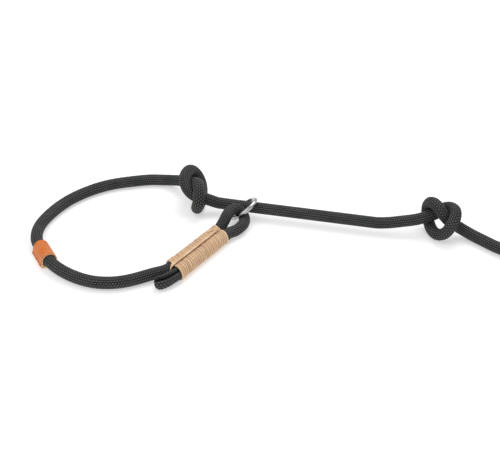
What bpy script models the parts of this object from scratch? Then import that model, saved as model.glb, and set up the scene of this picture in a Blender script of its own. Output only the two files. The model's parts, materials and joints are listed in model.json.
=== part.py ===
"""A rope slip lead: a noose of braided rope with a sliding ring, two knots, whipped eyes and a coiled line.

Units are metres, +Z up, and the lead lies on the plane z = 0. Routes are written in millimetres from the
middle of the noose's side of the lead, and placed() moves them to the frame of the whole stored object.
"""

import math

import bmesh
import bpy
import numpy as np
from mathutils import Matrix, Vector

MM = 0.001
GAP = 0.3 * MM
ROPE_END_GAP = 0.9 * MM

# The rope: 13 mm across where it lies free, and squeezed where it is knotted or bound.
ROPE_R = 6.5 * MM
KNOT_R = 5.95 * MM
EYE_R = 6.2 * MM
LEG_R = 5.9 * MM

# The middle of the stored object, in the coordinates of the routes.
MIDDLE = (214.1, -15.7)

# The slip ring, and the straight run of rope that it slides along, which the two knots hold off the ground.
RING_R = 16.25 * MM
RING_WIRE_R = 2.25 * MM
RING_AT = (-7.0, 14.0, 12.4)
RING_NORMAL = (0.589, -0.196, -0.784)
RUN_FROM = (-31.3, 25.8, 12.0)
RUN_TO = (132.2, -14.1, 12.0)

# A whipping binds two legs of rope side by side: a sleeve of flat lace with one strand along its groove.
WHIP_LENGTH = 87 * MM
WHIP_WALL = 1.3 * MM
LEG_OFFSET = LEG_R + GAP
LEG_Z = LEG_R + GAP + WHIP_WALL
LASHING_R = 1.2 * MM
EYE_WHIP_AT = (-77.5, -100.5)
EYE_WHIP_TURN = math.radians(56.7)
HANDLE_WHIP_AT = (428.3, -75.0)
HANDLE_WHIP_TURN = math.radians(20.0)

# The noose is cut into short lengths that hinge on each other, so that it can open and close.
NOOSE_SEGMENTS = 9
NOOSE_INSET = (1, 1)
HINGE_GAP = 1.9 * MM
LABEL_SEGMENT = 4

# The leather label, a sleeve round the straight length LABEL_SEGMENT with its two edges stitched in a fin.
LABEL_LENGTH = 30 * MM
LABEL_SHIFT = 5.2 * MM
LABEL_WALL = 1.6 * MM
LABEL_FIN = 12.5 * MM

# The stored line, a helix of rope that starts at the top at -90 degrees and ends on the ground.
COIL_AT = (358.0, -28.0)
COIL_R = 62.0
COIL_START = math.radians(-90)
COIL_SWEEP = math.radians(740)
COIL_TOP = 34.0

NOOSE_ROUTE = [
    (-92, 88.5, 6.5), (-117, 89, 6.5), (-140, 84.5, 6.5), (-163, 77, 6.5), (-184, 63.5, 6.5),
    (-204, 43, 6.5), (-219, 17, 6.5), (-227.5, -8, 6.5), (-228.5, -29, 7.5), (-224.5, -48, 8.5),
    (-215.5, -66, 8.5), (-206.5, -83, 8.5), (-194, -97, 7.5), (-177, -109, 6.5), (-155, -118.5, 6.5),
    (-130, -118.5, 6.5), (-110, -110.5, 6.5), (-97, -104.5, 7), (-87, -100.5, 7.5),
]
STOP_KNOT_ROUTE = [
    (-88, 86, 7.5), (-75, 71, 15), (-66, 57, 21), (-57, 29, 33), (-56, 18, 29), (-57, 14, 21),
    (-59, 19, 10), (-57, 33, 6.5), (-55, 49, 8), (-56, 65, 15), (-61, 70.5, 24), (-67, 66, 32),
    (-72, 53, 35), (-73, 41, 32), (-69, 32, 26), (-62, 28, 21), (-55, 26.5, 19), (-48, 26.5, 17),
    (-41, 27, 14), (-36, 26.9, 12.2), (-31.3, 25.8, 12),
]
LIMIT_KNOT_ROUTE = [
    (132.2, -14.1, 12), (138, -15.4, 12.1), (151, -16.4, 13), (164, -17, 15), (175, -17, 16.5), (183, -16.5, 18),
    (192, -15, 20), (201, -12, 22), (207, -10, 26), (214, -13, 30), (218.5, -24, 32), (217, -33, 28),
    (213, -37.5, 22), (208, -38, 14), (202, -33, 8), (197, -23, 6.5), (195, -11, 8), (193.5, -3, 14),
    (193, -1, 23), (195, -7.5, 33), (200, -17, 34.5), (205, -23, 29), (213, -24, 20), (221, -24, 14),
    (230, -26, 9), (239.5, -33, 6.5), (249, -43.5, 6.5),
]
TRAIL_ROUTE = [
    (249, -43.5, 6.5), (262, -57, 6.5), (279, -70, 10), (300, -80, 19), (326, -87.5, 29), (358, -90, 34),
]
EYE_ROUTE = [
    (-33.7, -22.3, 7.5), (-26.5, -10.5, 15), (-22, -0.5, 17.5), (-15, 6.3, 16.2), (-9.5, 7, 11.7),
    (-6, 0.5, 6.6), (-9.8, -16, 7.6), (-16.5, -24, 7), (-23.3, -29.1, 7.5),
]
EYE_END_ROUTE = [(-73.6, -106, 7.5), (-80, -113, 7.3), (-87.5, -119, 7), (-96, -121, 6.8)]
HANDLE_ROUTE = [
    (2.5, 6.2, 7.5), (25, 9, 6.5), (55, 24, 6.5), (90, 37, 6.5), (124, 36, 6.5), (148, 20, 6.5),
    (155, 0, 6.5), (148, -20, 6.5), (124, -36, 6.5), (90, -37, 6.5), (55, -24, 6.5), (25, -9, 6.5),
    (2.5, -6.2, 7.5),
]
HANDLE_END_ROUTE = [(-2, -6.6, 7.5), (-9, -8.5, 7.2), (-18, -12, 6.8), (-26, -18, 6.5)]

COLOURS = {
    "rope": ((0.032, 0.033, 0.034), 0.85, 0.0),
    "lace": ((0.60, 0.43, 0.28), 0.6, 0.0),
    "leather": ((0.66, 0.18, 0.04), 0.55, 0.0),
    "steel": ((0.62, 0.63, 0.65), 0.15, 1.0),
}


def placed(points):
    """Route points in millimetres, as metres in the frame of the whole object."""
    return (np.asarray(points, float) - (*MIDDLE, 0)) * MM


def turned(points, at, angle):
    """Points written along a whipping's own axis, as route points: at is its start and angle its direction."""
    p = np.asarray(points, float)
    x = at[0] + p[:, 0] * math.cos(angle) - p[:, 1] * math.sin(angle)
    y = at[1] + p[:, 0] * math.sin(angle) + p[:, 1] * math.cos(angle)
    return np.stack([x, y, p[:, 2]], axis=1)


def smooth_route(points, spacing):
    """The natural cubic spline through the points, read at even steps of about the spacing."""
    p = np.asarray(points, float)
    count = len(p)
    chords = np.sqrt(np.linalg.norm(np.diff(p, axis=0), axis=1))
    t = np.concatenate([[0], np.cumsum(chords)])
    system = np.eye(count)
    target = np.zeros((count, 3))
    for i in range(1, count - 1):
        before, after = chords[i - 1], chords[i]
        system[i, i - 1 : i + 2] = before, 2 * (before + after), after
        target[i] = 6 * ((p[i + 1] - p[i]) / after - (p[i] - p[i - 1]) / before)
    bend = np.linalg.solve(system, target)

    def at(s):
        k = np.clip(np.searchsorted(t, s, side="right") - 1, 0, count - 2)
        a, h = (s - t[k])[:, None], chords[k][:, None]
        slope = (p[k + 1] - p[k]) / h - h * (2 * bend[k] + bend[k + 1]) / 6
        return p[k] + a * slope + a**2 * bend[k] / 2 + a**3 * (bend[k + 1] - bend[k]) / (6 * h)

    fine = np.linspace(0, t[-1], 40 * count)
    run = lengths(at(fine))
    steps = max(2, round(run[-1] / spacing)) + 1
    return at(np.interp(np.linspace(0, run[-1], steps), run, fine))


def lengths(points):
    """The distance along the points from the first to each."""
    return np.concatenate([[0], np.cumsum(np.linalg.norm(np.diff(points, axis=0), axis=1))])


def between(points, start, end, spacing):
    """The stretch of a smooth route from one distance along it to another, read at even steps."""
    run = lengths(points)
    marks = np.linspace(start, end, max(1, round((end - start) / spacing)) + 1)
    return np.stack([np.interp(marks, run, points[:, axis]) for axis in range(3)], axis=1)


def material(name):
    colour, roughness, metallic = COLOURS[name]
    made = bpy.data.materials.new(name)
    made.use_nodes = True
    shader = made.node_tree.nodes["Principled BSDF"]
    shader.inputs["Base Color"].default_value = (*colour, 1)
    shader.inputs["Roughness"].default_value = roughness
    shader.inputs["Metallic"].default_value = metallic
    return made


def start_scene():
    for thing in list(bpy.data.objects):
        bpy.data.objects.remove(thing)
    collection = bpy.data.collections.new("rope_slip_lead")
    bpy.context.scene.collection.children.link(collection)
    return collection


def add(name, data, looks, location=(0, 0, 0), rotation=(0, 0, 0)):
    made = bpy.data.objects.new(name, data)
    made.location = location
    made.rotation_euler = rotation
    data.materials.append(material(looks))
    bpy.data.collections["rope_slip_lead"].objects.link(made)
    return made


def tube(name, points, radius, looks="rope", origin=None):
    """A round tube with flat ends along the points, in metres. A moving piece has its origin on its joint."""
    origin = np.asarray(points[0] if origin is None else origin)
    curve = bpy.data.curves.new(name, "CURVE")
    curve.dimensions = "3D"
    curve.bevel_depth = radius
    curve.bevel_resolution = 3
    curve.use_fill_caps = True
    spline = curve.splines.new("POLY")
    spline.points.add(len(points) - 1)
    for point, place in zip(spline.points, points - origin):
        point.co = (*place, 1)
    return add(name, curve, looks, origin)


def extrusion(name, outlines, length, looks, location, rotation):
    """A flat outline with holes, in its own XY plane, given a length along its own Z axis."""
    curve = bpy.data.curves.new(name, "CURVE")
    curve.dimensions = "2D"
    curve.fill_mode = "BOTH"
    curve.extrude = length / 2
    for outline in outlines:
        spline = curve.splines.new("POLY")
        spline.points.add(len(outline) - 1)
        for point, (x, y) in zip(spline.points, outline):
            point.co = (x, y, 0, 1)
        spline.use_cyclic_u = True
    return add(name, curve, looks, location, rotation)


def circle(radius, steps=28):
    return [(radius * math.cos(a), radius * math.sin(a))
            for a in np.linspace(0, 2 * math.pi, steps, endpoint=False)]


def stadium(half_width, radius, steps=10):
    """The outline round two circles that stand half_width to either side of the middle."""
    right = [(half_width + radius * math.cos(a), radius * math.sin(a))
             for a in np.linspace(-math.pi / 2, math.pi / 2, steps)]
    return right + [(-x, -y) for x, y in right]


def teardrop(radius, tip, steps=24):
    """A circle with a point at +X, at the distance tip from its middle."""
    edge = math.acos(radius / tip)
    arc = [(radius * math.cos(a), radius * math.sin(a))
           for a in np.linspace(edge, 2 * math.pi - edge, steps)]
    return arc + [(tip, 0)]


def whipping(prefix, at, turn):
    """The lace sleeve and the strand that lies along its upper groove. Their axis starts at `at`."""
    middle = turned([(WHIP_LENGTH / MM / 2, 0, LEG_Z / MM)], at, turn)
    outlines = [stadium(LEG_OFFSET, LEG_R + GAP + WHIP_WALL), stadium(LEG_OFFSET, LEG_R + GAP)]
    extrusion(f"{prefix}_whipping", outlines, WHIP_LENGTH, "lace", placed(middle)[0],
              (math.pi / 2, 0, turn + math.pi / 2))
    top = (2 * LEG_Z + GAP + LASHING_R) / MM
    strand = [(-2, 0, top), (WHIP_LENGTH / MM - 8, 0, top)]
    tube(f"{prefix}_lashing", placed(turned(strand, at, turn)), LASHING_R, "lace")


def leg_ends(at, turn, side, overhang=0.3):
    """Where one bound leg enters and leaves its whipping. side is +1 on the left of the axis, -1 on the right."""
    offset = side * LEG_OFFSET / MM
    ends = [(-overhang, offset, LEG_Z / MM), (WHIP_LENGTH / MM + overhang, offset, LEG_Z / MM)]
    return turned(ends, at, turn)


def slip_ring():
    bpy.ops.mesh.primitive_torus_add(
        major_radius=RING_R, minor_radius=RING_WIRE_R, major_segments=40, minor_segments=12)
    ring = bpy.context.object
    ring.name = "slip_ring"
    for owner in list(ring.users_collection):
        owner.objects.unlink(ring)
    bpy.data.collections["rope_slip_lead"].objects.link(ring)
    ring.data.materials.append(material("steel"))
    ring.data.shade_smooth()
    ring.location = placed([RING_AT])[0]
    ring.rotation_euler = Vector(RING_NORMAL).to_track_quat("Z", "Y").to_euler()


def noose_hinges():
    """The route of the noose from its eye to the stop knot, and the distances along it of its pivots and its end."""
    route = placed(smooth_route(NOOSE_ROUTE[::-1], 1.0))
    marks = np.linspace(NOOSE_INSET[0] * MM, lengths(route)[-1] - NOOSE_INSET[1] * MM, NOOSE_SEGMENTS + 1)
    return route, marks


def noose():
    """The rope of the noose, in lengths numbered from the eye round to the stop knot."""
    route, marks = noose_hinges()
    for number in range(1, NOOSE_SEGMENTS + 1):
        start = marks[number - 1] + HINGE_GAP / 2
        end = marks[number] - HINGE_GAP / 2
        pieces = 0.1 if number == LABEL_SEGMENT else 11 * MM
        pivot = between(route, marks[number - 1], marks[number], 1)[0]
        tube(f"noose_rope_{number}", between(route, start, end, pieces), ROPE_R, origin=pivot)


def leather_label():
    """A stitched sleeve round one straight length of the noose, with its fin on the outer side."""
    route, marks = noose_hinges()
    start, end = between(route, marks[LABEL_SEGMENT - 1], marks[LABEL_SEGMENT], 1)
    along = Vector(end - start).normalized()
    outward = Vector((0, 0, 1)).cross(along)
    facing = Matrix((outward, along.cross(outward), along)).transposed()
    outlines = [teardrop(ROPE_R + GAP + LABEL_WALL, LABEL_FIN), circle(ROPE_R + GAP)]
    middle = Vector((start + end) / 2) - along * LABEL_SHIFT
    extrusion("leather_label", outlines, LABEL_LENGTH, "leather", middle, facing.to_euler())


def slip_eye():
    """The eye that holds the ring: its rope, its whipping and the end of the rope past the whipping."""
    whipping("eye", EYE_WHIP_AT, EYE_WHIP_TURN)
    left = leg_ends(EYE_WHIP_AT, EYE_WHIP_TURN, 1)
    right = leg_ends(EYE_WHIP_AT, EYE_WHIP_TURN, -1)
    bight = smooth_route(EYE_ROUTE, 6)
    tube("eye_rope", placed(np.vstack([left, bight, right[::-1]])), LEG_R)
    tube("eye_rope_end", placed(smooth_route(EYE_END_ROUTE, 6)), EYE_R)


def handle():
    """The hand loop at the other end, spliced in the same way."""
    whipping("handle", HANDLE_WHIP_AT, HANDLE_WHIP_TURN)
    far_end = turned([(WHIP_LENGTH / MM, 0, 0)], HANDLE_WHIP_AT, HANDLE_WHIP_TURN)[0]
    left = leg_ends(HANDLE_WHIP_AT, HANDLE_WHIP_TURN, 1)
    right = leg_ends(HANDLE_WHIP_AT, HANDLE_WHIP_TURN, -1)
    loop = turned(smooth_route(HANDLE_ROUTE, 14), far_end[:2], HANDLE_WHIP_TURN)
    tube("handle_rope", placed(np.vstack([left, loop, right[::-1]])), LEG_R)
    end = turned(smooth_route(HANDLE_END_ROUTE, 8), HANDLE_WHIP_AT, HANDLE_WHIP_TURN)
    tube("handle_rope_end", placed(end), EYE_R)


def meshed(curve_object):
    """The same solid as a mesh object, with its end caps joined on, so that a Boolean can cut it."""
    graph = bpy.context.evaluated_depsgraph_get()
    mesh = bpy.data.meshes.new_from_object(curve_object.evaluated_get(graph))
    shape = bmesh.new()
    shape.from_mesh(mesh)
    bmesh.ops.remove_doubles(shape, verts=shape.verts, dist=1e-6)
    shape.to_mesh(mesh)
    shape.free()
    name, place = curve_object.name, curve_object.matrix_world.copy()
    bpy.data.objects.remove(curve_object)
    made = bpy.data.objects.new(name, mesh)
    made.matrix_world = place
    bpy.data.collections["rope_slip_lead"].objects.link(made)
    return made


def cut(curve_object, cutter):
    made = meshed(curve_object)
    modifier = made.modifiers.new("clear of the coil", "BOOLEAN")
    modifier.operation = "DIFFERENCE"
    modifier.object = cutter


def coil_cutter(height):
    """A disc that covers the coil with a small gap all round. It is a helper and not a piece."""
    cutter = extrusion("coil_cutter", [circle(COIL_R * MM + ROPE_R + GAP, 64)], 2 * height, "rope",
                       placed([(*COIL_AT, 0)])[0], (0, 0, 0))
    cutter = meshed(cutter)
    bpy.data.collections["rope_slip_lead"].objects.unlink(cutter)
    cutters = bpy.data.collections.new("cutters")
    bpy.context.scene.collection.children.link(cutters)
    cutters.objects.link(cutter)
    cutter.hide_render = True
    cutter.display_type = "WIRE"
    return cutter


def stored_line():
    """The line past the limit knot: up onto its coil, round it to the ground, and out to the handle."""
    height = COIL_TOP * MM + ROPE_R
    middle = placed([(*COIL_AT, height / MM / 2)])[0]
    outlines = [circle(COIL_R * MM + side * ROPE_R, 64) for side in (1, -1)]
    extrusion("stored_coil", outlines, height, "rope", middle, (0, 0, 0))
    cutter = coil_cutter(height)
    trail = placed(smooth_route(TRAIL_ROUTE, 1))
    trail = between(trail, ROPE_END_GAP, lengths(trail)[-1], 12 * MM)
    cut(tube("trailing_line", trail, ROPE_R), cutter)
    leave = COIL_START + COIL_SWEEP
    out = (COIL_AT[0] + COIL_R * math.cos(leave), COIL_AT[1] + COIL_R * math.sin(leave), ROPE_R / MM)
    ahead = leg_ends(HANDLE_WHIP_AT, HANDLE_WHIP_TURN, 1, overhang=1.5)[0]
    cut(tube("handle_line", placed([out, ahead]), ROPE_R), cutter)


def main():
    start_scene()
    run = placed([RUN_FROM, RUN_TO])
    tube("stop_knot", placed(smooth_route(STOP_KNOT_ROUTE, 6)), KNOT_R)
    tube("running_line", between(run, ROPE_END_GAP, lengths(run)[-1] - ROPE_END_GAP, 1), ROPE_R)
    tube("limit_knot", placed(smooth_route(LIMIT_KNOT_ROUTE, 6)), KNOT_R)
    stored_line()
    noose()
    leather_label()
    slip_eye()
    slip_ring()
    handle()


main()
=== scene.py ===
"""How the rope slip lead looks: braided rope, laced whippings, a steel ring and a stitched leather label."""

import json
import math

import bpy
import numpy as np
from mathutils import Matrix, Vector


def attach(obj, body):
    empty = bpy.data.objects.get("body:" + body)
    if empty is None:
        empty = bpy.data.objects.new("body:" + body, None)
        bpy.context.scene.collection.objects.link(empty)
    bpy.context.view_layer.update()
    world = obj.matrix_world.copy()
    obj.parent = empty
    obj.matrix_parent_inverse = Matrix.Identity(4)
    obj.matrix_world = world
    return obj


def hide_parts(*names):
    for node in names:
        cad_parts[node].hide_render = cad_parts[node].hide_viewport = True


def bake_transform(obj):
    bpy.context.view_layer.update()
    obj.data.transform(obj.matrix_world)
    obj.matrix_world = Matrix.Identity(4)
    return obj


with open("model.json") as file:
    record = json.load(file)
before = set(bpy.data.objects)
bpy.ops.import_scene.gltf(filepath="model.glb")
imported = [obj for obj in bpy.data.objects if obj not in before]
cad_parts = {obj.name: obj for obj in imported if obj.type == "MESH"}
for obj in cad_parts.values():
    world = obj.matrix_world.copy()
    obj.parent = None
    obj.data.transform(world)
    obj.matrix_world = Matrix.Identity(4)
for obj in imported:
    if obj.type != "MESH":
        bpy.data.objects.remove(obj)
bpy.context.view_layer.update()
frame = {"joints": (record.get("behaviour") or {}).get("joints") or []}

MM = 0.001
JOINTS = {joint["name"]: joint for joint in frame["joints"]}

# The routes below repeat part.py, with a rounder bend where the noose goes into the stop knot. They are in
# millimetres, and placed() moves them to the frame.
MIDDLE = (214.1, -15.7)
ROPE_R, STOP_R, KNOT_R, EYE_R, TAIL_R = 6.5, 6.65, 6.5, 6.35, 7.4
RING_R, RING_WIRE_R = 16.25, 2.25
RING_AT = (-7.0, 14.0, 12.4)
RING_NORMAL = (0.589, -0.196, -0.784)
RUN_TO = (132.2, -14.1, 12.0)
WHIP_LENGTH, WHIP_R, LEG_OFFSET, LEG_Z = 87, 7.5, 6.2, 7.5
EYE_WHIP = ((-77.5, -100.5), math.radians(56.7))
HANDLE_WHIP = ((428.3, -75.0), math.radians(20.0))
COIL_AT, COIL_R, COIL_START, COIL_SWEEP, COIL_TOP = (358.0, -28.0), 62.0, -90, 740, 34.0
NOOSE_ROUTE = [
    (-104, 88.8, 6.5), (-117, 89, 6.5), (-140, 84.5, 6.5), (-163, 77, 6.5), (-184, 63.5, 6.5),
    (-204, 43, 6.5), (-219, 17, 6.5), (-227.5, -8, 6.5), (-228.5, -29, 7.5), (-224.5, -48, 8.5),
    (-215.5, -66, 8.5), (-206.5, -83, 8.5), (-194, -97, 7.5), (-177, -109, 6.5), (-155, -118.5, 6.5),
    (-130, -118.5, 6.5), (-110, -110.5, 6.5), (-97, -104.5, 7), (-87, -100.5, 7.5),
]
STOP_KNOT_ROUTE = [
    (-92, 84.8, 8.4), (-83, 78.6, 11.5), (-75, 71, 15), (-66, 57, 21), (-57, 29, 33), (-56, 18, 29),
    (-57, 14, 21), (-59, 19, 10), (-57, 33, 6.5), (-55, 49, 8), (-56, 65, 15), (-61, 70.5, 24),
    (-67, 66, 32), (-72, 53, 35), (-73, 41, 32), (-69, 32, 26), (-62, 28, 21), (-55, 26.5, 19),
    (-48, 26.5, 17), (-41, 27, 14), (-36, 26.9, 12.2), (-31.3, 25.8, 12),
]
LIMIT_KNOT_ROUTE = [
    (132.2, -14.1, 12), (138, -15.4, 12.1), (151, -16.4, 13), (164, -17, 15), (175, -17, 16.5),
    (183, -16.5, 18), (192, -15, 20), (201, -12, 22), (207, -10, 26), (214, -13, 30), (218.5, -24, 32),
    (217, -33, 28), (213, -37.5, 22), (208, -38, 14), (202, -33, 8), (197, -23, 6.5), (195, -11, 8),
    (193.5, -3, 14), (193, -1, 23), (195, -7.5, 33), (200, -17, 34.5), (205, -23, 29), (213, -24, 20),
    (221, -24, 14), (230, -26, 9), (239.5, -33, 6.5), (249, -43.5, 6.5),
]
TRAIL_ROUTE = [(262, -57, 6.5), (279, -70, 10), (300, -80, 19), (326, -87.5, 29), (358, -90, 34)]
EYE_ROUTE = [
    (-33.7, -22.3, 7.5), (-26.5, -10.5, 15), (-22, -0.5, 17.5), (-15, 6.3, 16.2), (-9.5, 7, 11.7),
    (-6, 0.5, 6.6), (-9.8, -16, 7.6), (-16.5, -24, 7), (-23.3, -29.1, 7.5),
]
EYE_END_ROUTE = [(-73.6, -106, 7.5), (-80, -113, 7.3), (-87.5, -119, 7), (-96, -121, 6.8)]
HANDLE_ROUTE = [
    (2.5, 6.2, 7.5), (25, 9, 6.5), (55, 24, 6.5), (90, 37, 6.5), (124, 36, 6.5), (148, 20, 6.5),
    (155, 0, 6.5), (148, -20, 6.5), (124, -36, 6.5), (90, -37, 6.5), (55, -24, 6.5), (25, -9, 6.5),
    (2.5, -6.2, 7.5),
]
HANDLE_END_ROUTE = [(-2, -6.6, 7.5), (-9, -8.5, 7.2), (-18, -12, 6.8), (-26, -18, 6.5)]

# The braid: columns of slanting stitches, four mesh points across each column and four along each stitch.
COLUMNS = 16
ACROSS = 4
AROUND = COLUMNS * ACROSS
STITCH = 2.7
STEP = STITCH / 4
SLANT = 1.3
RELIEF = 0.65

# The fold along each cut tail, sunk and painted with shade: the way it faces, how wide it is, and how many
# mesh rings it takes to fade.
FOLD_TOWARDS = (0.33, -0.22, 0.92)
FOLD_WIDTH = 0.13
FOLD_FADE = 80

# The whipping's lace: its turns, the points round each, and the shape of one turn from edge to edge.
TURNS = 27
LACE_AROUND = 72
LACE_SHARES = (0.0, 0.06, 0.18, 0.36, 0.5, 0.66, 0.82, 0.94)
LACE_HEIGHTS = (0.0, 0.55, 0.88, 1.0, 1.0, 0.97, 0.85, 0.5)
LACE_BASE, LACE_PROUD = 6.4, 1.15
LACE_SAG = 0.9
GROOVE_AT, GROOVE_WIDTH, GROOVE_DEPTH = -0.9, 0.55, 0.8
LACE_SKEW, LACE_SHIFT, LACE_SHORTER = 0.33, 1, 4

# The camera's angle below the horizon in degrees, and the table's half width and height in metres.
LOOKING_DOWN = 32
TABLE_HALF, TABLE_Z = 6, -0.0004

# The leather label, in millimetres: its round part, its fin, and the row of stitches along the fin.
LABEL_LENGTH, LABEL_SHIFT, LABEL_R, LABEL_FIN = 30, 5.2, 8.25, 11.6
LABEL_WALL, LABEL_SEAM, LABEL_EDGE = 1.2, 3.4, 1.7
LABEL_DROOP = math.radians(32)
STITCH_AT, STITCH_PITCH = 9.0, 6.4


def placed(points):
    """Route points in millimetres, as metres in the frame."""
    return (np.asarray(points, float) - (*MIDDLE, 0)) * MM


def turned(points, whip, ahead=0):
    """Points along a whipping's own axis, from its start or a distance ahead of it, as route points."""
    (x0, y0), angle = whip
    p = np.asarray(points, float)
    along = p[:, 0] + ahead
    x = x0 + along * math.cos(angle) - p[:, 1] * math.sin(angle)
    y = y0 + along * math.sin(angle) + p[:, 1] * math.cos(angle)
    return np.stack([x, y, p[:, 2]], axis=1)


def leg(whip, side):
    """One bound leg of rope, as a few route points from the whipping's start to its far end."""
    return turned([(x, side * LEG_OFFSET, LEG_Z) for x in (2, 12, 43, 75, WHIP_LENGTH - 1)], whip)


def lengths(points):
    """The distance along the points from the first to each."""
    return np.concatenate([[0], np.cumsum(np.linalg.norm(np.diff(points, axis=0), axis=1))])


def evenly(points, spacing):
    """The same line, read at even steps of the spacing."""
    run = lengths(points)
    marks = np.arange(0, run[-1], spacing)
    return np.stack([np.interp(marks, run, points[:, axis]) for axis in range(3)], axis=1)


def smooth_route(points):
    """The natural cubic spline through the points, finely read."""
    p = np.asarray(points, float)
    count = len(p)
    chords = np.sqrt(np.linalg.norm(np.diff(p, axis=0), axis=1))
    t = np.concatenate([[0], np.cumsum(chords)])
    system = np.eye(count)
    target = np.zeros((count, 3))
    for i in range(1, count - 1):
        before, after = chords[i - 1], chords[i]
        system[i, i - 1 : i + 2] = before, 2 * (before + after), after
        target[i] = 6 * ((p[i + 1] - p[i]) / after - (p[i] - p[i - 1]) / before)
    bend = np.linalg.solve(system, target)
    s = np.linspace(0, t[-1], 60 * count)
    k = np.clip(np.searchsorted(t, s, side="right") - 1, 0, count - 2)
    a, h = (s - t[k])[:, None], chords[k][:, None]
    slope = (p[k + 1] - p[k]) / h - h * (2 * bend[k] + bend[k + 1]) / 6
    return p[k] + a * slope + a**2 * bend[k] / 2 + a**3 * (bend[k + 1] - bend[k]) / (6 * h)


def coil_route():
    """The stored line: a helix that comes down from the top of the coil to the ground."""
    angle = np.radians(COIL_START + np.linspace(0, COIL_SWEEP, 400))
    x = COIL_AT[0] + COIL_R * np.cos(angle)
    y = COIL_AT[1] + COIL_R * np.sin(angle)
    height = np.linspace(COIL_TOP, ROPE_R, 400)
    return np.stack([x, y, height], axis=1)


def whole_rope():
    """The one rope of the lead as a fine line, in millimetres, from the eye's tail to the handle's tail."""
    noose_side = smooth_route(np.vstack([
        EYE_END_ROUTE[::-1], leg(EYE_WHIP, -1), EYE_ROUTE[::-1], leg(EYE_WHIP, 1)[::-1],
        NOOSE_ROUTE[::-1], STOP_KNOT_ROUTE]))
    limit_side = smooth_route(LIMIT_KNOT_ROUTE + TRAIL_ROUTE)
    loop = turned(HANDLE_ROUTE, HANDLE_WHIP, WHIP_LENGTH)
    handle_side = smooth_route(np.vstack([
        leg(HANDLE_WHIP, 1), loop, leg(HANDLE_WHIP, -1)[::-1], turned(HANDLE_END_ROUTE, HANDLE_WHIP)]))
    line = evenly(np.vstack([noose_side, limit_side, coil_route(), handle_side]), STEP)
    return softened(line)


def softened(line, reach=3):
    """The line with its last kinks rounded off: each point is an average of those within a few steps."""
    padded = np.vstack([[line[0]] * reach, line, [line[-1]] * reach])
    weights = np.hanning(2 * reach + 3)[1:-1]
    weights /= weights.sum()
    return np.stack([np.convolve(padded[:, axis], weights, "valid") for axis in range(3)], axis=1)


def frames_along(line):
    """Two directions across the line at each point, turned as little as possible from point to point."""
    ahead = np.gradient(line, axis=0)
    ahead /= np.linalg.norm(ahead, axis=1)[:, None]
    up = np.empty_like(line)
    last = np.array([0.0, 0.0, 1.0])
    for i, direction in enumerate(ahead):
        last = last - direction * (last @ direction)
        last = last / np.linalg.norm(last)
        up[i] = last
    return up, np.cross(ahead, up)


ROPE = whole_rope()
ROPE_UP, ROPE_SIDE = frames_along(ROPE)


def ring_near(point, low=0, high=None):
    """The number of the rope's ring nearest to a route point, looking between two rings."""
    found = np.linalg.norm(ROPE[low:high] - np.asarray(point, float), axis=1)
    return low + int(found.argmin())


def route_point(position):
    """A position in the frame, in metres, as a route point in millimetres."""
    return np.asarray(position, float) / MM + (*MIDDLE, 0)


EYE_TIP = 0
EYE_IN = ring_near(turned([(6, -LEG_OFFSET, LEG_Z)], EYE_WHIP)[0])
EYE_OUT = ring_near(turned([(6, LEG_OFFSET, LEG_Z)], EYE_WHIP)[0])
KNOT_IN = ring_near(STOP_KNOT_ROUTE[2])
RUN_IN = ring_near(STOP_KNOT_ROUTE[-1])
LIMIT_IN = ring_near(RUN_TO)
TRAIL_IN = ring_near(LIMIT_KNOT_ROUTE[-1])
COIL_IN = ring_near((COIL_AT[0], COIL_AT[1] - COIL_R, COIL_TOP))
HANDLE_IN = ring_near(turned([(6, LEG_OFFSET, LEG_Z)], HANDLE_WHIP)[0])
HANDLE_OUT = ring_near(turned([(6, -LEG_OFFSET, LEG_Z)], HANDLE_WHIP)[0])
ROPE_TIP = len(ROPE) - 1


def rope_radius(rings):
    """The rope's outer radius at each ring: it differs a little in the tail, the eyes and the knots."""
    marks = [EYE_TIP + 10, EYE_TIP + 50, EYE_OUT, EYE_OUT + 30,
             KNOT_IN - 10, KNOT_IN + 20, RUN_IN - 20, RUN_IN + 10,
             LIMIT_IN + 60, LIMIT_IN + 80, TRAIL_IN - 30, TRAIL_IN,
             HANDLE_IN - 20, HANDLE_IN, HANDLE_OUT]
    radii = [TAIL_R, EYE_R, EYE_R, ROPE_R,
             ROPE_R, STOP_R, STOP_R, ROPE_R,
             ROPE_R, KNOT_R, KNOT_R, ROPE_R,
             ROPE_R, EYE_R, EYE_R]
    return np.interp(rings, marks, radii)


def stitch_pattern(rings):
    """For each ring and each point round it: the slant along the rope and the height of the braid, 0 to 1."""
    column, part = np.divmod(np.arange(AROUND), ACROSS)
    rise = part / ACROSS
    slant = SLANT * np.where(column % 2 == 0, rise, 1 - rise)
    crown = np.array([0.1, 0.85, 1.0, 0.85])
    along = np.array([0.0, 0.75, 1.0, 0.75])[(rings[:, None] + 2 * (column % 2)[None, :]) % 4]
    return slant, crown[part][None, :] * (0.15 + 0.85 * along)


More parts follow.
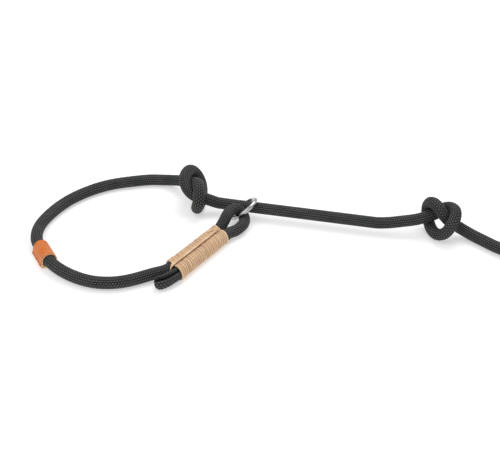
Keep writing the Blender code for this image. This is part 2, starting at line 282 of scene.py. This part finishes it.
def rope_piece(name, first, last, tip_first=False, tip_last=False, fold=0.0):
    """A closed tube of braid from one ring of the rope to another. A tip is rounded over at its end."""
    rings = np.arange(first, last + 1)
    slant, height = stitch_pattern(rings)
    from_tip = np.full(len(rings), 99)
    if tip_first:
        from_tip = rings - first
    if tip_last:
        from_tip = last - rings
    straight = np.clip(from_tip / 6, 0, 1)
    along = rings[:, None] + slant[None, :] / STEP * straight[:, None]
    centre, up, side = (
        np.stack([np.interp(along, np.arange(len(ROPE)), field[:, axis]) for axis in range(3)], axis=2)
        for field in (ROPE, ROPE_UP, ROPE_SIDE))
    angle = np.arange(AROUND) * 2 * math.pi / AROUND
    radius = rope_radius(along) - RELIEF * (1 - height)
    rounding = np.clip(from_tip / 8, 0.02, 1)
    radius = radius * np.sqrt(1 - (1 - rounding) ** 2)[:, None]
    if fold:
        middle = (first + last) // 2
        away = angle - math.atan2(ROPE_SIDE[middle] @ FOLD_TOWARDS, ROPE_UP[middle] @ FOLD_TOWARDS)
        fading = np.clip(1.2 - from_tip[:, None] / FOLD_FADE, 0, 1)
        groove = fading * np.exp(-((np.sin(away / 2) / FOLD_WIDTH) ** 2))
        radius = radius * (1 - fold * groove)
        # Painted shade: the fold's height goes to 0, so the rope material paints its crease near black.
        height = height * (1 - groove)
    points = centre + radius[..., None] * (up * np.cos(angle)[:, None] + side * np.sin(angle)[:, None])
    mesh = grid_mesh(name, placed(points.reshape(-1, 3)), len(rings), AROUND, rings[0] / 4, 1 / 4)
    add_relief(mesh, height)
    return new_piece(name, mesh, "rope")


def add_relief(mesh, height):
    """Keeps each point's height, 0 to 1, for the material. The two middles of the ends have none."""
    relief = mesh.attributes.new("relief", "FLOAT", "POINT")
    relief.data.foreach_set("value", np.concatenate([height.ravel(), [0, 0]]).astype(np.float32))


def tube_faces(rows, columns):
    """A tube's four-sided faces, the triangles that close its two ends, and each four-sided face's place."""
    row, column = np.meshgrid(np.arange(rows - 1), np.arange(columns), indexing="ij")
    beside = (column + 1) % columns
    quads = np.stack([row * columns + column, row * columns + beside,
                      (row + 1) * columns + beside, (row + 1) * columns + column], axis=-1).reshape(-1, 4)
    ring = np.arange(columns)
    after = (ring + 1) % columns
    near, far = rows * columns, rows * columns + 1
    top = (rows - 1) * columns
    start = np.stack([ring, np.full(columns, near), after], axis=1)
    end = np.stack([top + ring, top + after, np.full(columns, far)], axis=1)
    return quads, np.concatenate([start, end]), row, column


def grid_mesh(name, points, rows, columns, first_u, step_u):
    """A closed tube from rows of points, each row a ring. Its UV map counts along the tube and round it."""
    quads, ends, row, column = tube_faces(rows, columns)
    middles = [points[:columns].mean(axis=0), points[-columns:].mean(axis=0)]
    corners = np.concatenate([quads.ravel(), ends.ravel()]).astype(np.int32)
    sizes = np.array([4] * len(quads) + [3] * len(ends), np.int32)
    mesh = bpy.data.meshes.new(name)
    mesh.vertices.add(rows * columns + 2)
    mesh.vertices.foreach_set("co", np.vstack([points, middles]).astype(np.float32).ravel())
    mesh.loops.add(len(corners))
    mesh.loops.foreach_set("vertex_index", corners)
    mesh.polygons.add(len(sizes))
    mesh.polygons.foreach_set("loop_start", np.concatenate([[0], np.cumsum(sizes)[:-1]]).astype(np.int32))
    mesh.update(calc_edges=True)
    mesh.polygons.foreach_set("use_smooth", sizes == 4)
    along = np.stack([row, row, row + 1, row + 1], axis=-1).ravel() * step_u + first_u
    round_it = np.stack([column, column + 1, column + 1, column], axis=-1).ravel() / ACROSS
    uv = np.zeros((len(corners), 2), np.float32)
    uv[: len(along)] = np.stack([along, round_it], axis=1)
    mesh.uv_layers.new(name="braid").data.foreach_set("uv", uv.ravel())
    mesh.update()
    return mesh


def new_piece(name, mesh, looks):
    """A piece of the model, with its material."""
    made = bpy.data.objects.new(name, mesh)
    bpy.context.scene.collection.objects.link(made)
    made.data.materials.append(MATERIALS[looks])
    return made


class Looks:
    """A material under construction: its node tree, its shader, and short calls that add and join nodes."""

    def __init__(self, name, colour, **sockets):
        self.material = bpy.data.materials.new(f"{name}_look")
        self.material.use_nodes = True
        self.tree = self.material.node_tree
        self.shader = self.tree.nodes["Principled BSDF"]
        self.shader.inputs["Base Color"].default_value = (*colour, 1)
        for socket, value in sockets.items():
            self.shader.inputs[socket.replace("_", " ")].default_value = value

    def node(self, kind, settings=None, **inputs):
        """Adds a node. An input is named, or numbered as in _0, and is joined to an output or set."""
        made = self.tree.nodes.new(kind)
        for key, value in (settings or {}).items():
            setattr(made, key, value)
        for key, value in inputs.items():
            socket = made.inputs[int(key[1:])] if key[1:].isdigit() else made.inputs[key.replace("_", " ")]
            if isinstance(value, bpy.types.NodeSocket):
                self.tree.links.new(value, socket)
            else:
                socket.default_value = value
        return made

    def maths(self, operation, a, b=0.0):
        """The result of one sum on two values."""
        return self.node("ShaderNodeMath", {"operation": operation}, _0=a, _1=b).outputs[0]

    def mix(self, share, a, b):
        """One colour blended into another."""
        made = self.node("ShaderNodeMix", {"data_type": "RGBA"}, _0=share, _6=a, _7=b)
        return made.outputs[2]

    def ramp(self, value, low, high):
        """0 below the low value, 1 above the high one, and smooth between them."""
        return self.node("ShaderNodeMapRange", {"interpolation_type": "SMOOTHSTEP"},
                         _0=value, _1=low, _2=high, _3=0.0, _4=1.0).outputs[0]

    def noise(self, vector, scale, detail=2.0):
        """Soft random patches."""
        return self.node("ShaderNodeTexNoise", Vector=vector, Scale=scale, Detail=detail).outputs[0]

    def stretched(self, vector, scale):
        """A place with each of its axes scaled by itself."""
        return self.node("ShaderNodeVectorMath", {"operation": "MULTIPLY"}, _0=vector, _1=scale).outputs[0]

    def join(self, output, socket):
        """Feeds one of the shader's sockets."""
        self.tree.links.new(output, self.shader.inputs[socket])

    def bump(self, height, strength, distance):
        """Fine surface relief from a height."""
        made = self.node("ShaderNodeBump", Height=height, Strength=strength, Distance=distance)
        self.join(made.outputs[0], "Normal")


def rope_look():
    """Black braided fibre: filaments along each stitch, painted shade between the stitches, painted
    highlights on the crown filaments, and a few painted glints.
    """
    look = Looks("rope", (0.03, 0.03, 0.03), Roughness=0.62, Specular_IOR_Level=0.22,
                 Sheen_Weight=0.04, Sheen_Roughness=0.4)
    relief = look.node("ShaderNodeAttribute", {"attribute_name": "relief"}).outputs["Fac"]
    braid = look.node("ShaderNodeUVMap", {"uv_map": "braid"}).outputs[0]
    filaments = look.noise(look.stretched(braid, (9.0, 1.2, 1.0)), 1.0)
    stitches = look.noise(braid, 1.7)
    worn = look.noise(look.stretched(braid, (0.12, 0.3, 1.0)), 1.0)
    crown = look.mix(look.ramp(worn, 0.35, 0.7), (0.060, 0.062, 0.064, 1), (0.092, 0.093, 0.090, 1))
    # Painted shade: the low points between the stitches are near black, and the stitch crowns keep the
    # fibre's colour.
    body = look.mix(look.ramp(relief, 0.2, 0.9), (0.002, 0.002, 0.002, 1), crown)
    # Painted highlight: filaments are lighter only where the stitches stand high.
    lit = look.maths("MULTIPLY", look.ramp(filaments, 0.48, 0.8), look.ramp(relief, 0.3, 0.9))
    varied = look.mix(lit, body, (0.115, 0.117, 0.12, 1))
    # Painted glints: a few bright specks on the tops of the stitches stand in for the fibres' sheen.
    bright = look.maths("MULTIPLY", look.ramp(stitches, 0.6, 0.72), look.ramp(relief, 0.6, 1.0))
    look.join(look.mix(bright, varied, (0.16, 0.16, 0.152, 1)), "Base Color")
    look.bump(filaments, 0.5, 0.00015)
    return look.material


def lace_look():
    """Pale waxed lace: each turn has its own tone, with fine grain along it and painted brown shade in the
    gaps between the turns.
    """
    look = Looks("lace", (0.60, 0.41, 0.25), Roughness=0.45, Specular_IOR_Level=0.35)
    relief = look.node("ShaderNodeAttribute", {"attribute_name": "relief"}).outputs["Fac"]
    wound = look.node("ShaderNodeUVMap", {"uv_map": "braid"}).outputs[0]
    turn = look.node("ShaderNodeVectorMath", {"operation": "FLOOR"}, _0=wound).outputs[0]
    one_turn = look.stretched(turn, (1.0, 0.0, 0.0))
    tone = look.node("ShaderNodeTexWhiteNoise", {"noise_dimensions": "3D"}, Vector=one_turn).outputs[0]
    grain = look.noise(look.stretched(wound, (7.0, 0.5, 1.0)), 1.0, 4.0)
    patches = look.noise(look.stretched(wound, (0.25, 0.25, 1.0)), 1.3)
    body = look.mix(tone, (0.56, 0.35, 0.19, 1), (0.69, 0.48, 0.29, 1))
    body = look.mix(look.ramp(patches, 0.45, 0.75), body, (0.58, 0.34, 0.22, 1))
    body = look.mix(look.ramp(grain, 0.45, 0.8), body, (0.78, 0.58, 0.39, 1))
    # Painted shade: low points turn dark brown. These are the gaps between turns, the groove beside the
    # strand and the sunk ends.
    look.join(look.mix(look.ramp(relief, 0.1, 0.9), (0.30, 0.165, 0.085, 1), body), "Base Color")
    look.bump(grain, 0.5, 0.0002)
    return look.material


def leather_look():
    """Orange tan leather, paler and pinker where it is polished, with a fine pebble and darker creases."""
    look = Looks("leather", (0.60, 0.16, 0.02), Roughness=0.5, Specular_IOR_Level=0.3)
    place = look.node("ShaderNodeTexCoord").outputs["Object"]
    cells = look.node("ShaderNodeTexVoronoi", {"feature": "DISTANCE_TO_EDGE"}, Vector=place, Scale=1400.0)
    pebble = cells.outputs[0]
    clouds = look.noise(place, 90.0, 3.0)
    fine = look.noise(place, 900.0, 3.0)
    body = look.mix(look.ramp(clouds, 0.35, 0.7), (0.62, 0.155, 0.012, 1), (0.62, 0.19, 0.058, 1))
    look.join(look.mix(look.ramp(fine, 0.5, 0.8), body, (0.48, 0.095, 0.012, 1)), "Base Color")
    look.bump(look.maths("ADD", look.maths("MULTIPLY", pebble, 2.0), fine), 0.35, 0.00015)
    return look.material


def leather_edge_look():
    """The pale cut edge of the leather, with its loose fibres."""
    look = Looks("leather_edge", (0.62, 0.42, 0.22), Roughness=0.85)
    place = look.node("ShaderNodeTexCoord").outputs["Object"]
    fibres = look.noise(place, 1500.0, 4.0)
    colour = look.mix(look.ramp(fibres, 0.35, 0.7), (0.62, 0.40, 0.18, 1), (0.80, 0.60, 0.36, 1))
    look.join(colour, "Base Color")
    look.bump(fibres, 0.6, 0.0002)
    return look.material


def thread_look():
    """Waxed rust-brown thread with its twist."""
    look = Looks("thread", (0.22, 0.05, 0.02), Roughness=0.6)
    place = look.node("ShaderNodeTexCoord").outputs["Object"]
    strands = look.noise(place, 2500.0, 2.0)
    look.join(look.mix(strands, (0.14, 0.03, 0.012, 1), (0.34, 0.09, 0.035, 1)), "Base Color")
    look.bump(strands, 0.5, 0.0001)
    return look.material


def steel_look():
    """Bright plated steel, with fine rubbing marks that change its gloss."""
    look = Looks("steel", (0.45, 0.45, 0.46), Metallic=1.0, Roughness=0.14)
    place = look.node("ShaderNodeTexCoord").outputs["Object"]
    marks = look.noise(look.stretched(place, (1.0, 1.0, 6.0)), 700.0, 4.0)
    gloss = look.node("ShaderNodeMapRange", _0=marks, _1=0.3, _2=0.8, _3=0.08, _4=0.3)
    look.join(gloss.outputs[0], "Roughness")
    look.bump(marks, 0.12, 0.0001)
    return look.material


MATERIALS = {
    "rope": rope_look(),
    "lace": lace_look(),
    "leather": leather_look(),
    "leather_edge": leather_edge_look(),
    "thread": thread_look(),
    "steel": steel_look(),
}


def camera():
    """A long lens that looks down on the lead from its near side, at 32 degrees."""
    lens = bpy.data.cameras.new("camera")
    lens.lens = 73.08
    lens.sensor_width = 36
    made = bpy.data.objects.new("camera", lens)
    made.location = (-0.2141, -0.9323, 0.592)
    made.rotation_euler = (math.radians(90 - LOOKING_DOWN), 0, 0)
    bpy.context.scene.collection.objects.link(made)
    bpy.context.scene.camera = made


def floor():
    """A pale table that glows a little, so that the shadows on it stay faint."""
    corners = [(TABLE_HALF * x, TABLE_HALF * y, TABLE_Z) for x, y in ((-1, -1), (1, -1), (1, 1), (-1, 1))]
    mesh = bpy.data.meshes.new("floor")
    mesh.from_pydata(corners, [], [(0, 1, 2, 3)])
    made = bpy.data.objects.new("floor", mesh)
    bpy.context.scene.collection.objects.link(made)
    table = Looks("floor", (0.65, 0.65, 0.65), Roughness=0.9,
                  Emission_Color=(1, 1, 1, 1), Emission_Strength=0.45)
    made.data.materials.append(table.material)


def lights():
    """An even white world, a soft key light from behind and a weaker fill from the left."""
    world = bpy.data.worlds.new("studio")
    world.use_nodes = True
    world.node_tree.nodes["Background"].inputs["Color"].default_value = (1, 1, 1, 1)
    world.node_tree.nodes["Background"].inputs["Strength"].default_value = 0.68
    bpy.context.scene.world = world
    bpy.context.scene.view_settings.view_transform = "Standard"
    for name, at, size, power in (("key", (0.2, 0.9, 1.7), 1.3, 17), ("fill", (-1.0, -0.7, 1.5), 1.4, 8)):
        light = bpy.data.lights.new(name, "AREA")
        light.size = size
        light.energy = power
        made = bpy.data.objects.new(name, light)
        made.location = at
        made.rotation_euler = (Vector((-0.15, 0, 0)) - Vector(at)).to_track_quat("-Z", "Y").to_euler()
        bpy.context.scene.collection.objects.link(made)


def cord(piece, body, nodes):
    """A length of the rope that rides on one body and stands for CAD nodes."""
    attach(piece, body)
    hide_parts(*nodes)


def lead_rope():
    """The rope on the lead's own body: both knots, the run between them, the coil and the hand loop."""
    for name, first, last, nodes, lay in (
            ("stop_knot_rope", KNOT_IN, RUN_IN, ["stop_knot"], "loose"),
            ("running_rope", RUN_IN, LIMIT_IN, ["running_line"], "loose"),
            ("limit_knot_rope", LIMIT_IN, TRAIL_IN, ["limit_knot"], "loose"),
            ("trailing_rope", TRAIL_IN, COIL_IN, ["trailing_line"], "loose"),
            ("stored_rope", COIL_IN, HANDLE_IN, ["stored_coil", "handle_line"], "coiled"),
            ("handle_loop_rope", HANDLE_IN, HANDLE_OUT, ["handle_rope"], "loose")):
        cord(rope_piece(name, first, last), "lead", nodes)
    end = rope_piece("handle_end_rope", HANDLE_OUT, ROPE_TIP, tip_last=True, fold=0.4)
    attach(end, "lead")
    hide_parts("handle_rope_end")


def noose_rope():
    """The rope of the noose, cut at the middle of each body and bent across the joint between two bodies."""
    hinges = [route_point(JOINTS[f"noose_bend_{number}"]["pos_m"]) for number in range(1, 10)]
    rings = [ring_near(hinge, EYE_OUT, KNOT_IN) for hinge in hinges] + [ring_near(STOP_KNOT_ROUTE[0])]
    cuts = [EYE_OUT] + [(a + b) // 2 for a, b in zip(rings, rings[1:])]
    for number, hinge in enumerate(rings[:-1]):
        piece = rope_piece(f"noose_length_{number + 1}", cuts[number], cuts[number + 1])
        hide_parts(f"noose_rope_{number + 1}")
        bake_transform(piece)
    last = rope_piece("noose_length_10", cuts[-1], KNOT_IN)
    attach(last, "noose_9")
    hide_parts("noose_rope_9")


def eye_rope():
    """The rope of the eye, from leg to leg round the ring, and its short tail."""
    cord(rope_piece("eye_loop_rope", EYE_IN, EYE_OUT), "eye", ["eye_rope"])
    end = rope_piece("eye_end_rope", EYE_TIP, EYE_IN, tip_first=True, fold=0.6)
    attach(end, "eye")
    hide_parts("eye_rope_end")


def stadium(count):
    """Points evenly round a whipping's outline, from the middle of its top, and the outward way at each."""
    arc = math.pi * WHIP_R
    total = 2 * arc + 4 * LEG_OFFSET
    marks = np.arange(count) * total / count
    points, outward = np.zeros((count, 2)), np.zeros((count, 2))
    for i, mark in enumerate(marks):
        side = 1 if mark < total / 2 else -1
        mark = mark % (total / 2)
        if mark < LEG_OFFSET or mark > LEG_OFFSET + arc:
            y = mark if mark < LEG_OFFSET else total / 2 - mark
            up = 1 if mark < LEG_OFFSET else -1
            across, away = (y, up * WHIP_R), (0, up)
        else:
            angle = (mark - LEG_OFFSET) / WHIP_R
            away = (math.sin(angle), math.cos(angle))
            across = (LEG_OFFSET + away[0] * WHIP_R, away[1] * WHIP_R)
        points[i] = side * across[0], side * across[1]
        outward[i] = side * away[0], side * away[1]
    return points, outward


def lace_turns(rng):
    """Where each turn of lace starts along the whipping, how far it tilts, and how proud it stands."""
    widths = 1 + 0.10 * rng.standard_normal(TURNS)
    starts = np.concatenate([[0], np.cumsum(widths)]) * WHIP_LENGTH / widths.sum()
    tilts = 0.35 * rng.standard_normal(TURNS + 1)
    tilts[[0, -1]] = 0
    proud = 1 + 0.12 * rng.standard_normal(TURNS)
    proud[:3] += (0.45, 0.5, 0.35)
    return starts, tilts, proud


def lace_sleeve(name, whip, seed):
    """The wound lace: rows of points across each turn, sunk where the strand lies in the groove on top, with
    painted shadow in that groove.
    """
    rng = np.random.default_rng(seed)
    starts, tilts, proud = lace_turns(rng)
    outline, outward = stadium(LACE_AROUND)
    turn_of = np.arctan2(outline[:, 0], outline[:, 1])
    rows, heights, turns = [], [], []

    def row(x, height, turn):
        lift = LACE_BASE + LACE_PROUD * height - WHIP_R
        section = outline + outward * np.asarray(lift)[..., None]
        on_top = (outline[:, 1] > 0) & (np.abs(outline[:, 0]) < LEG_OFFSET)
        section[:, 1] -= on_top * LACE_SAG * np.cos(outline[:, 0] * math.pi / 2 / LEG_OFFSET) ** 2
        groove = on_top * np.exp(-((outline[:, 0] - GROOVE_AT) / GROOVE_WIDTH) ** 2)
        section[:, 1] -= GROOVE_DEPTH * groove
        rows.append(np.column_stack([np.broadcast_to(x, LACE_AROUND), section[:, 0], section[:, 1] + LEG_Z]))
        # Painted shadow: the groove's height is cut to 0, so the lace material paints it dark brown beside
        # the strand.
        heights.append(np.broadcast_to(height, LACE_AROUND) * (1 - groove))
        turns.append(turn)

    row(1.6, -0.8, 0)
    for turn in range(TURNS):
        low = starts[turn] + tilts[turn] * np.cos(turn_of)
        high = starts[turn + 1] + tilts[turn + 1] * np.cos(turn_of)
        for share, height in zip(LACE_SHARES, LACE_HEIGHTS):
            row(low + share * (high - low), height * proud[turn], turn + share)
    row(WHIP_LENGTH, 0.1, TURNS)
    row(WHIP_LENGTH - 1.6, -0.8, TURNS)
    points = np.vstack(rows)
    points[:, 0] += LACE_SKEW * points[:, 1] + LACE_SHIFT - LACE_SHORTER * points[:, 0] / WHIP_LENGTH
    mesh = grid_mesh(name, placed(turned(points, whip)), len(rows), LACE_AROUND, 0, 1 / len(LACE_SHARES))
    add_relief(mesh, np.clip(np.vstack(heights), 0, 1))
    return new_piece(name, mesh, "lace")


def strip(name, whip, line, widths, thickness):
    """A flat strand of lace that follows the points, written along a whipping's axis, with pointed ends."""
    line = smooth_route(line)
    count = 90
    marks = np.linspace(0, lengths(line)[-1], count)
    line = np.stack([np.interp(marks, lengths(line), line[:, axis]) for axis in range(3)], axis=1)
    width = np.interp(np.linspace(0, 1, count), np.linspace(0, 1, len(widths)), widths)
    ahead = np.gradient(line, axis=0)
    ahead /= np.linalg.norm(ahead, axis=1)[:, None]
    side = np.cross(ahead, (0, 0, 1))
    side /= np.linalg.norm(side, axis=1)[:, None]
    up = np.cross(side, ahead)
    angle = np.arange(16) * 2 * math.pi / 16
    across = np.sign(np.cos(angle)) * np.abs(np.cos(angle)) ** 0.7
    over = np.sign(np.sin(angle)) * np.abs(np.sin(angle)) ** 0.7
    thick = thickness * np.clip(width / max(widths) * 1.6, 0.15, 1)
    points = (line[:, None] + side[:, None] * (width[:, None] / 2 * across)[..., None]
              + up[:, None] * (thick[:, None] / 2 * over)[..., None])
    mesh = grid_mesh(name, placed(turned(points.reshape(-1, 3), whip)), count, 16, 40, 0.02)
    add_relief(mesh, np.ones((count, 16)))
    return new_piece(name, mesh, "lace")


def whipping(prefix, whip, body, seed):
    """The wound lace, the strand along its groove, and the short tucked end beside it."""
    sleeve = lace_sleeve(f"{prefix}_lace", whip, seed)
    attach(sleeve, body)
    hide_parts(f"{prefix}_whipping")
    top = 2 * LEG_Z - 0.35
    strand = strip(f"{prefix}_strand", whip,
                   [(-5.5, 0.2, top - 3.6), (-2.5, 0.6, top - 1.2), (2, 1.2, top + 0.2), (20, 1.3, top),
                    (45, 1.2, top), (68, 1.3, top), (77, 1.4, top - 0.1), (82, 1.5, top - 1.6)],
                   [0.3, 4.6, 3.8, 3.4, 3.4, 3.4, 3.4, 3.6, 3.2, 2.4], 1.5)
    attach(strand, body)
    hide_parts(f"{prefix}_lashing")
    tuck = strip(f"{prefix}_tuck", whip,
                 [(66, 8.5, top - 0.4), (71, 6.8, top + 0.5), (76, 4.8, top + 0.5), (81, 2.6, top + 0.1)],
                 [0.8, 2.6, 3.0, 2.2], 1.0)
    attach(tuck, body)


def slip_ring():
    """The round steel ring, a little thicker where its wire is welded."""
    rows, around = 144, 24
    turn = np.arange(rows) * 2 * math.pi / rows
    angle = np.arange(around) * 2 * math.pi / around
    wire = RING_WIRE_R * (1 + 0.05 * np.exp(-((turn - math.pi) / 0.09) ** 2))
    reach = RING_R + wire[:, None] * np.cos(angle)
    points = np.stack([reach * np.cos(turn)[:, None], reach * np.sin(turn)[:, None],
                       wire[:, None] * np.sin(angle) * np.ones((rows, 1))], axis=-1).reshape(-1, 3) * MM
    row, column = np.meshgrid(np.arange(rows), np.arange(around), indexing="ij")
    ahead, beside = (row + 1) % rows, (column + 1) % around
    quads = np.stack([row * around + column, ahead * around + column,
                      ahead * around + beside, row * around + beside], axis=-1).reshape(-1, 4)
    mesh = bpy.data.meshes.new("slip_ring_steel")
    mesh.from_pydata(points.tolist(), [], quads.tolist())
    mesh.polygons.foreach_set("use_smooth", [True] * len(quads))
    ring = new_piece("slip_ring_steel", mesh, "steel")
    ring.location = placed([RING_AT])[0]
    ring.rotation_euler = Vector(RING_NORMAL).to_track_quat("Z", "Y").to_euler()
    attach(ring, "ring")
    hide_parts("slip_ring")


def label_outline(count, radius, reach, edge):
    """A circle seen from the end, drawn out to a blunt fin at +X by straight lines that leave it smoothly."""
    slope = math.acos((radius - edge) / (reach - edge))
    points = []
    for angle in np.linspace(-math.pi, math.pi, count, endpoint=False):
        away = np.array([math.cos(angle), math.sin(angle)])
        near = abs(angle)
        flat = radius / math.cos(min(abs(near - slope), 1.2))
        tip = reach / max(away[0], 1e-6)
        points.append(away * (radius if near > slope else min(flat, tip)))
    rounded = np.array(points)
    for _ in range(3):
        rounded = (np.roll(rounded, 1, axis=0) + 2 * rounded + np.roll(rounded, -1, axis=0)) / 4
    return rounded


def label_frame():
    """The label's own axes: its fin points outwards along X and droops, and the rope runs along its Z."""
    along = Vector(JOINTS["label_turn"]["axis"]).normalized()
    middle = Vector(JOINTS["label_turn"]["pos_m"]) - along * LABEL_SHIFT * MM
    outward = Vector((0, 0, 1)).cross(along)
    facing = Matrix((outward, along.cross(outward), along)).transposed()
    return Matrix.Translation(middle) @ facing.to_4x4() @ Matrix.Rotation(-LABEL_DROOP, 4, "Z")


def label_faces(rows, count):
    """The faces of the label's outside, then those of its inside, then its two cut ends."""
    row, column = np.meshgrid(np.arange(rows - 1), np.arange(count), indexing="ij")
    beside = (column + 1) % count
    outside = np.stack([row * count + column, row * count + beside,
                        (row + 1) * count + beside, (row + 1) * count + column], axis=-1).reshape(-1, 4)
    lining = outside[:, ::-1] + rows * count
    ring = np.arange(count)
    after = (ring + 1) % count
    inner = rows * count
    first = np.stack([ring, inner + ring, inner + after, after], axis=1)
    last = np.stack([ring, after, inner + after, inner + ring], axis=1) + (rows - 1) * count
    return np.concatenate([outside, lining, first, last]), len(outside)


def label_points(rows, count):
    """The label's outside, with its fin pulled in at each stitch, and then its inside, in metres."""
    outer = label_outline(count, LABEL_R, LABEL_FIN, LABEL_EDGE)
    inner = label_outline(count, LABEL_R - LABEL_WALL, LABEL_FIN - LABEL_SEAM, 0.2)
    x = np.linspace(-LABEL_LENGTH / 2, LABEL_LENGTH / 2, rows)
    from_end = LABEL_LENGTH / 2 - np.abs(x)
    shrink = 0.35 * np.exp(-((from_end / 0.5) ** 2))
    swell = 0.15 * np.sin(x * 0.55) + 0.1 * np.sin(x * 1.3 + 1)
    fin = np.clip((outer[:, 0] - LABEL_R) / 3, 0, 1)
    pull = 1.1 * np.cos(x * math.pi / STITCH_PITCH) ** 8
    away = outer / np.linalg.norm(outer, axis=1)[:, None]
    outside = outer[None] - away[None] * shrink[:, None, None]
    outside[..., 0] += fin * (swell - pull)[:, None]
    outside[..., 1] *= 1 - 0.15 * fin * pull[:, None]
    inside = np.broadcast_to(inner, (rows, count, 2))
    sheets = [np.concatenate([sheet, np.broadcast_to(x[:, None, None], (rows, count, 1))], axis=2)
              for sheet in (outside, inside)]
    return np.concatenate([sheet.reshape(-1, 3) for sheet in sheets]) * MM


def leather_label():
    """The leather sleeve, with its inside and its ends in the colour of cut leather, and its stitches."""
    rows, count = 60, 120
    quads, on_outside = label_faces(rows, count)
    number = np.arange(len(quads))
    mesh = bpy.data.meshes.new("leather_sleeve")
    mesh.from_pydata(label_points(rows, count).tolist(), [], quads.tolist())
    mesh.polygons.foreach_set("use_smooth", number < 2 * on_outside)
    sleeve = new_piece("leather_sleeve", mesh, "leather")
    mesh.materials.append(MATERIALS["leather_edge"])
    mesh.polygons.foreach_set("material_index", (number >= on_outside).astype(np.int32))
    sleeve.matrix_world = label_frame()
    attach(sleeve, "label")
    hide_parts("leather_label")
    stitches = label_stitches()
    stitches.matrix_world = label_frame()
    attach(stitches, "label")


def label_stitches():
    """Stitches of thick thread that go round the fin's edge, each sunk in its notch and thin at both ends."""
    outline = label_outline(120, LABEL_R, LABEL_FIN, LABEL_EDGE)
    rim = outline[outline[:, 0] > STITCH_AT]
    away = rim / np.linalg.norm(rim, axis=1)[:, None]
    angle = np.arange(8) * math.pi / 4
    points, count = [], int(LABEL_LENGTH / 2 / STITCH_PITCH)
    for number in range(-count, count + 1):
        for place, (at, out) in enumerate(zip(rim, away)):
            end = abs(2 * place / (len(rim) - 1) - 1)
            size = 0.62 * math.sqrt(1.02 - end**6)
            sunk = 0.75 * (1 - end) + 0.25
            for a in angle:
                across = at + out * (size * math.cos(a) - sunk)
                points.append((across[0], across[1], number * STITCH_PITCH + size * math.sin(a)))
    rows = len(rim)
    faces = []
    for stitch in range(2 * count + 1):
        base = stitch * rows * 8
        for i in range(rows - 1):
            faces += [(base + i * 8 + j, base + i * 8 + (j + 1) % 8,
                       base + (i + 1) * 8 + (j + 1) % 8, base + (i + 1) * 8 + j) for j in range(8)]
        faces.append([base + j for j in reversed(range(8))])
        faces.append([base + (rows - 1) * 8 + j for j in range(8)])
    mesh = bpy.data.meshes.new("label_stitches")
    mesh.from_pydata((np.array(points) * MM).tolist(), [], faces)
    mesh.polygons.foreach_set("use_smooth", [True] * len(faces))
    return new_piece("label_stitches", mesh, "thread")


def main():
    camera()
    floor()
    lights()
    lead_rope()
    noose_rope()
    eye_rope()
    whipping("eye", EYE_WHIP, "eye", 4)
    whipping("handle", HANDLE_WHIP, "lead", 9)
    slip_ring()
    leather_label()


main()
